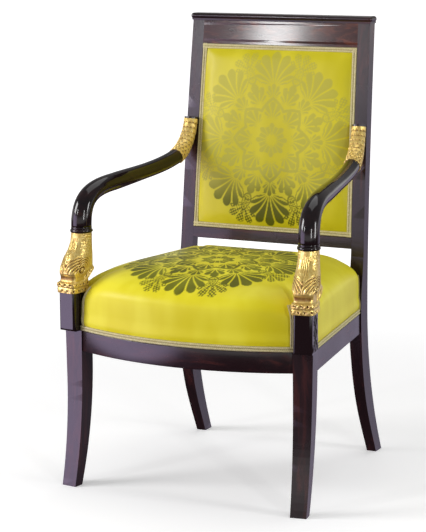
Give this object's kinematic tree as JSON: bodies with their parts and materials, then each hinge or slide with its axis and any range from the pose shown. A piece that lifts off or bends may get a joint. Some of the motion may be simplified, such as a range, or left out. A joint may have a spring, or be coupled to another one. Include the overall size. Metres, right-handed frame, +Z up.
{
  "type": "open-arm chair",
  "caption": "Upholstered open-arm chair with sabre legs, a bowed front rail, gilt dolphin-head arm supports, scaled arm tails, and a cushioned seat and square back in patterned satin.",
  "frame": {"origin": "on the floor under the middle of the chair's box; the middle plane of the chair is x = 0", "axes": "x across the chair, -y towards the front of the seat, z up"},
  "size_m": [0.5856, 0.575, 0.965],
  "materials": {
    "mahogany": "polished",
    "ebonised": "polished",
    "gilt": "satin",
    "beech": "matte",
    "steel": "satin",
    "satin": "satin",
    "gimp": "matte",
    "webbing": "matte",
    "hessian": "matte",
    "stuffing": "matte"
  },
  "bodies": {
    "root": {"front_leg_left": "mahogany", "front_leg_right": "mahogany", "rear_post_left": "mahogany", "rear_post_right": "mahogany", "front_rail": "mahogany", "side_rail_left": "mahogany", "side_rail_right": "mahogany", "rear_rail": "mahogany", "corner_block_front_left": "beech", "corner_block_front_right": "beech", "corner_block_rear_left": "beech", "corner_block_rear_right": "beech", "corner_screws": "steel", "dolphin_head_left": "gilt", "dolphin_head_right": "gilt", "arm_left": "ebonised", "arm_right": "ebonised", "arm_tail_left": "gilt", "arm_tail_right": "gilt", "tail_plate_left": "mahogany", "tail_plate_right": "mahogany", "neck_dowels": "beech", "block_dowels": "beech", "tail_dowels": "beech", "arm_screws": "steel", "screw_plugs": "mahogany", "back_tablet": "mahogany", "back_cap": "mahogany", "cap_dowels": "beech", "back_lower_rail": "mahogany", "slip_frame_uprights": "beech", "slip_frame_bars": "beech", "slip_frame_screws": "steel", "back_webbing_upright": "webbing", "back_webbing_across": "webbing", "back_stuffing": "stuffing", "back_cover": "satin", "back_outer_cover": "satin", "back_gimp_front": "gimp", "back_gimp_rear": "gimp", "seat_webbing_lengthwise": "webbing", "seat_webbing_crosswise": "webbing", "seat_base_cloth": "hessian", "seat_stuffing": "stuffing", "seat_cover": "satin", "seat_gimp": "gimp"}
  },
  "joints": []
}
